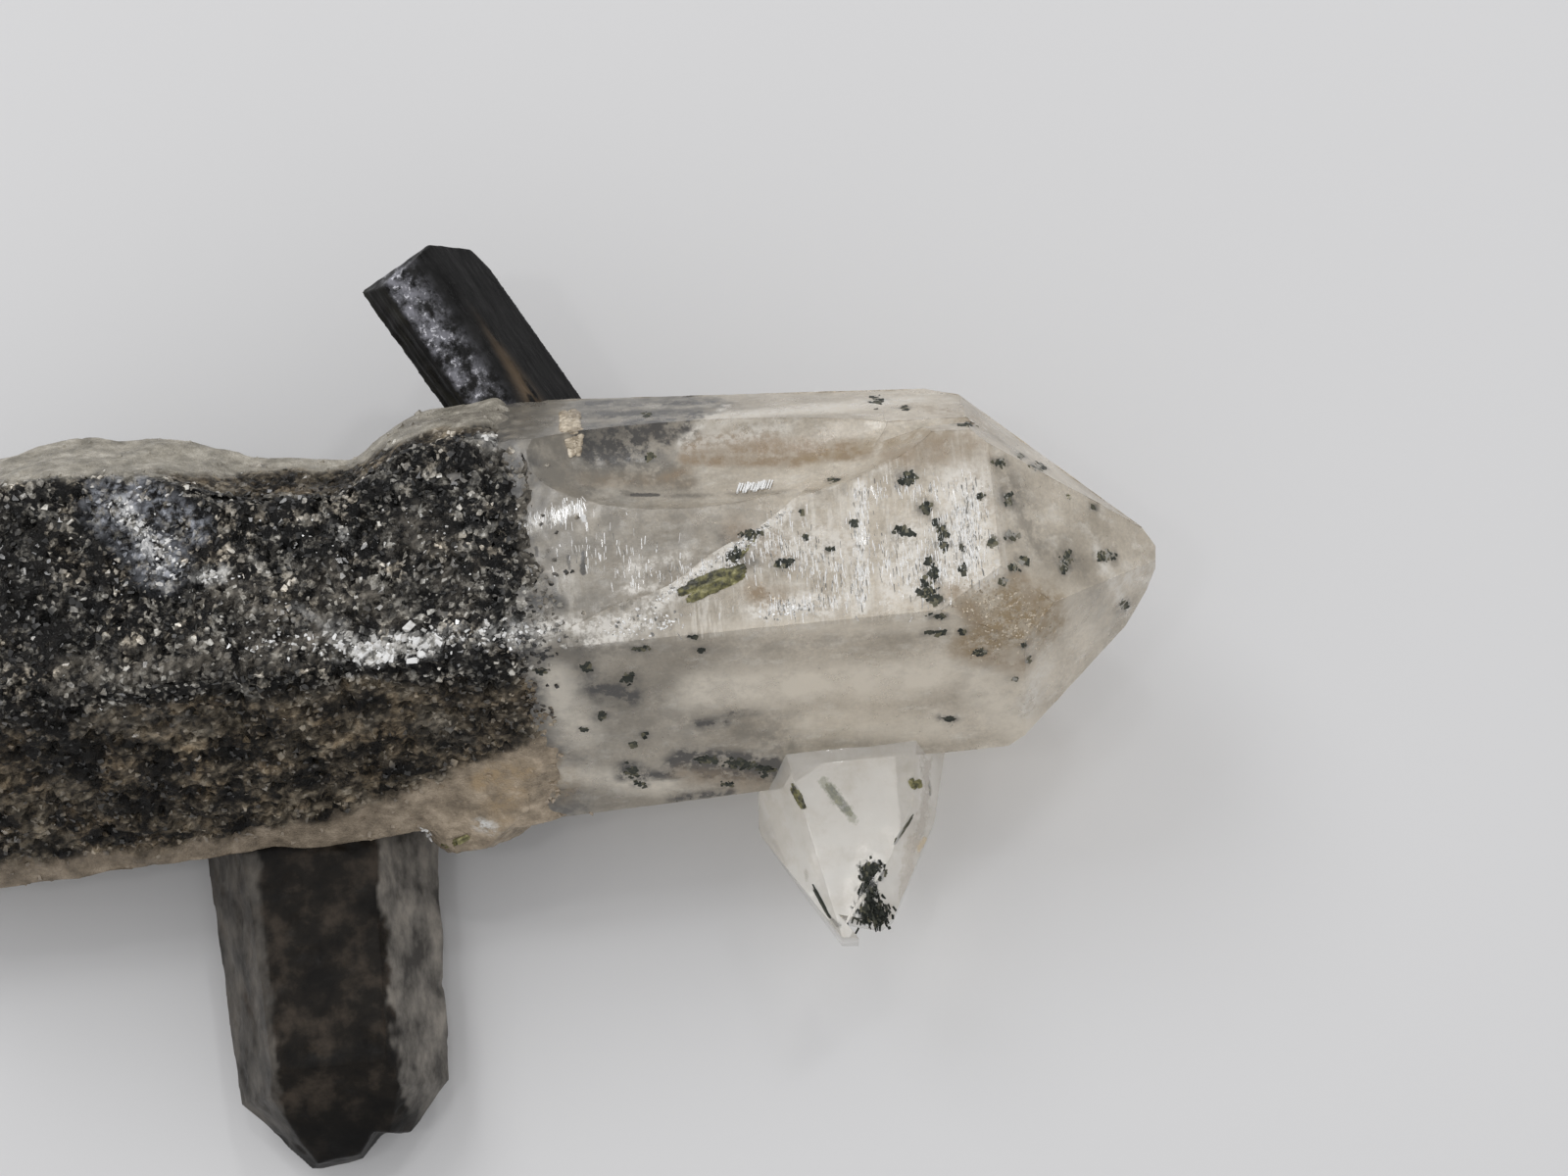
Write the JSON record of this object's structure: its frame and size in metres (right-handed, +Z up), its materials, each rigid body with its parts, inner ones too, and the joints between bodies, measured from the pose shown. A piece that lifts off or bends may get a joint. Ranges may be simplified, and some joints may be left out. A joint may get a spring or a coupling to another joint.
{
  "type": "aegirine quartz crystal",
  "caption": "Natural quartz crystal with a dark granular root and a milky clear point, crossed by a dark prism, a small clear crystal and a black aegirine prism.",
  "frame": {"origin": "on the surface it rests on, under the middle of its box", "axes": "+X along the main crystal to its point, +Z up from the surface, +Y towards the black prism"},
  "size_m": [0.0722, 0.0492, 0.0212],
  "materials": {
    "dark_quartz": "granular, pitted and sparkling, full of dark inclusions",
    "clear_quartz": "milky and clear, glossy faces with fine cross striations",
    "aegirine": "black, glossy, with fine ridges along its length"
  },
  "bodies": {
    "root": {"quartz_crystals": "dark_quartz", "aegirine_prism": "aegirine"}
  },
  "joints": []
}
